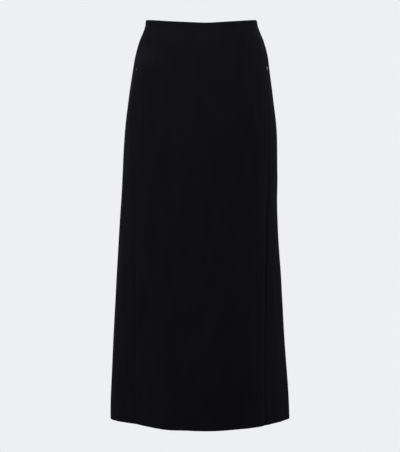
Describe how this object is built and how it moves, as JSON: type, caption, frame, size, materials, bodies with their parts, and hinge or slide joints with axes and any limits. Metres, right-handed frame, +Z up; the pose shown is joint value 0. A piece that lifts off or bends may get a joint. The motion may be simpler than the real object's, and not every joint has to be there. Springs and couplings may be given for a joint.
{
  "type": "long straight a-line skirt",
  "caption": "Long plain black skirt, fitted at the waist and hip and widening straight to the hem, with side-seam pockets and a concealed zip at the centre back.",
  "frame": {"origin": "middle of the waist opening, level with the waist edge at the sides", "axes": "+Z up towards the wearer's waist, front faces -Y, wearer's left is +X"},
  "size_m": [0.421, 0.2857, 0.9302],
  "materials": {
    "black_crepe": "matt woven crepe, dyed black",
    "pale_pocketing": "thin plain-weave pocketing",
    "black_zip_tape": "ribbed woven zip tape",
    "black_enamelled_zinc": "black enamel on die-cast zinc"
  },
  "bodies": {
    "skirt": {"front": "black_crepe", "back_left": "black_crepe", "back_right": "black_crepe", "pocket_bag_left": "pale_pocketing", "pocket_bag_right": "pale_pocketing", "zip_tape_left": "black_zip_tape", "zip_tape_right": "black_zip_tape", "zip_slider": "black_enamelled_zinc"},
    "pull_tab": {"zip_pull": "black_enamelled_zinc"}
  },
  "joints": [
    {"name": "pull_tab_hinge", "type": "hinge", "parent": "skirt", "child": "pull_tab", "pos_m": [0.0036, 0.0957, -0.0217], "axis": [1, 0, 0], "range_deg": [0, 150]}
  ]
}
